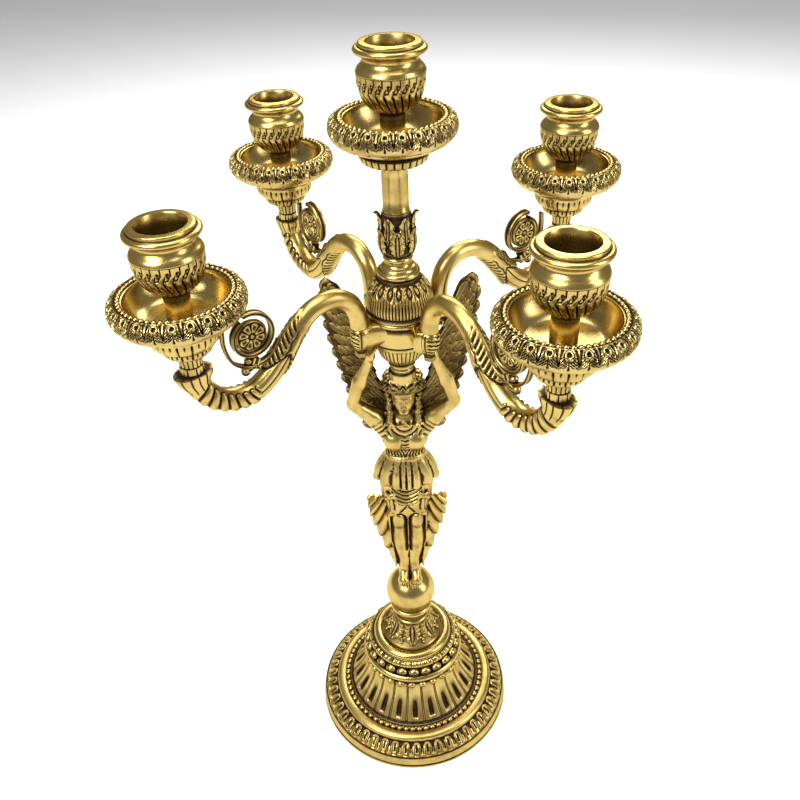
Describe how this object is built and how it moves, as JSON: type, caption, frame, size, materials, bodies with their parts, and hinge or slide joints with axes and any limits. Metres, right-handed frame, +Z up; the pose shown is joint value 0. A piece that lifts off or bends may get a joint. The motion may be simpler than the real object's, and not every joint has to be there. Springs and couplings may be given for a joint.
{
  "type": "tabletop candelabra",
  "caption": "Tabletop candelabra: a winged figure on a ball and a stepped round foot carries curved scrolled arms and a centre column, each with a drip pan and an unscrewing candle cup.",
  "frame": {"origin": "on the column's axis, at the underside of the foot", "axes": "+Z up along the column; the figure faces -Y; +X is to the viewer's right"},
  "size_m": [0.2652, 0.2652, 0.492],
  "materials": {
    "polished_brass": "polished, warm gold, dark in the grooves",
    "antique_brass": "cast relief, polished on the high places and near black in the recesses",
    "aged_brass": "dark patina with rubbed edges",
    "steel": "plain threaded rod and screws"
  },
  "bodies": {
    "stand": {"base_foot": "antique_brass", "base_dome": "antique_brass", "base_cap": "polished_brass", "base_vase": "antique_brass", "ball": "polished_brass", "clamp_plate": "aged_brass", "base_washer": "steel", "base_nut": "steel", "lower_tie_rod": "steel", "figure": "antique_brass", "wing_left": "aged_brass", "wing_right": "aged_brass", "wing_screw_left": "steel", "wing_screw_right": "steel", "head_collar": "polished_brass", "hub_bell": "antique_brass", "hub": "polished_brass", "hub_dome": "antique_brass", "spool": "polished_brass", "leaf_bud": "antique_brass", "stem_tube": "polished_brass", "centre_collar": "antique_brass", "upper_tie_rod": "steel", "arm_1": "polished_brass", "scroll_1": "antique_brass", "arm_screw_1": "steel", "socket_1": "antique_brass", "stud_1": "steel", "arm_2": "polished_brass", "scroll_2": "antique_brass", "arm_screw_2": "steel", "socket_2": "antique_brass", "stud_2": "steel", "arm_3": "polished_brass", "scroll_3": "antique_brass", "arm_screw_3": "steel", "socket_3": "antique_brass", "stud_3": "steel", "arm_4": "polished_brass", "scroll_4": "antique_brass", "arm_screw_4": "steel", "socket_4": "antique_brass", "stud_4": "steel"},
    "drip_pan_1": {"pan_1": "antique_brass"},
    "candle_cup_1": {"nozzle_1": "polished_brass"},
    "drip_pan_2": {"pan_2": "antique_brass"},
    "candle_cup_2": {"nozzle_2": "polished_brass"},
    "drip_pan_3": {"pan_3": "antique_brass"},
    "candle_cup_3": {"nozzle_3": "polished_brass"},
    "drip_pan_4": {"pan_4": "antique_brass"},
    "candle_cup_4": {"nozzle_4": "polished_brass"},
    "drip_pan_centre": {"pan_centre": "antique_brass"},
    "candle_cup_centre": {"nozzle_centre": "polished_brass"}
  },
  "joints": [
    {"name": "pan_1_lift_off", "type": "slide", "parent": "stand", "child": "drip_pan_1", "axis": [0, 0, 1], "range_m": [0, 0.019]},
    {"name": "cup_1_unscrew", "type": "hinge", "parent": "drip_pan_1", "child": "candle_cup_1", "pos_m": [0.06971, -0.10061, 0.3923], "axis": [0, 0, 1], "continuous": true},
    {"name": "pan_2_lift_off", "type": "slide", "parent": "stand", "child": "drip_pan_2", "axis": [0, 0, 1], "range_m": [0, 0.019]},
    {"name": "cup_2_unscrew", "type": "hinge", "parent": "drip_pan_2", "child": "candle_cup_2", "pos_m": [0.10061, 0.06971, 0.3923], "axis": [0, 0, 1], "continuous": true},
    {"name": "pan_3_lift_off", "type": "slide", "parent": "stand", "child": "drip_pan_3", "axis": [0, 0, 1], "range_m": [0, 0.019]},
    {"name": "cup_3_unscrew", "type": "hinge", "parent": "drip_pan_3", "child": "candle_cup_3", "pos_m": [-0.06971, 0.10061, 0.3923], "axis": [0, 0, 1], "continuous": true},
    {"name": "pan_4_lift_off", "type": "slide", "parent": "stand", "child": "drip_pan_4", "axis": [0, 0, 1], "range_m": [0, 0.019]},
    {"name": "cup_4_unscrew", "type": "hinge", "parent": "drip_pan_4", "child": "candle_cup_4", "pos_m": [-0.10061, -0.06971, 0.3923], "axis": [0, 0, 1], "continuous": true},
    {"name": "pan_centre_lift_off", "type": "slide", "parent": "stand", "child": "drip_pan_centre", "axis": [0, 0, 1], "range_m": [0, 0.019]},
    {"name": "cup_centre_unscrew", "type": "hinge", "parent": "drip_pan_centre", "child": "candle_cup_centre", "pos_m": [0, 0, 0.4457], "axis": [0, 0, 1], "continuous": true}
  ]
}
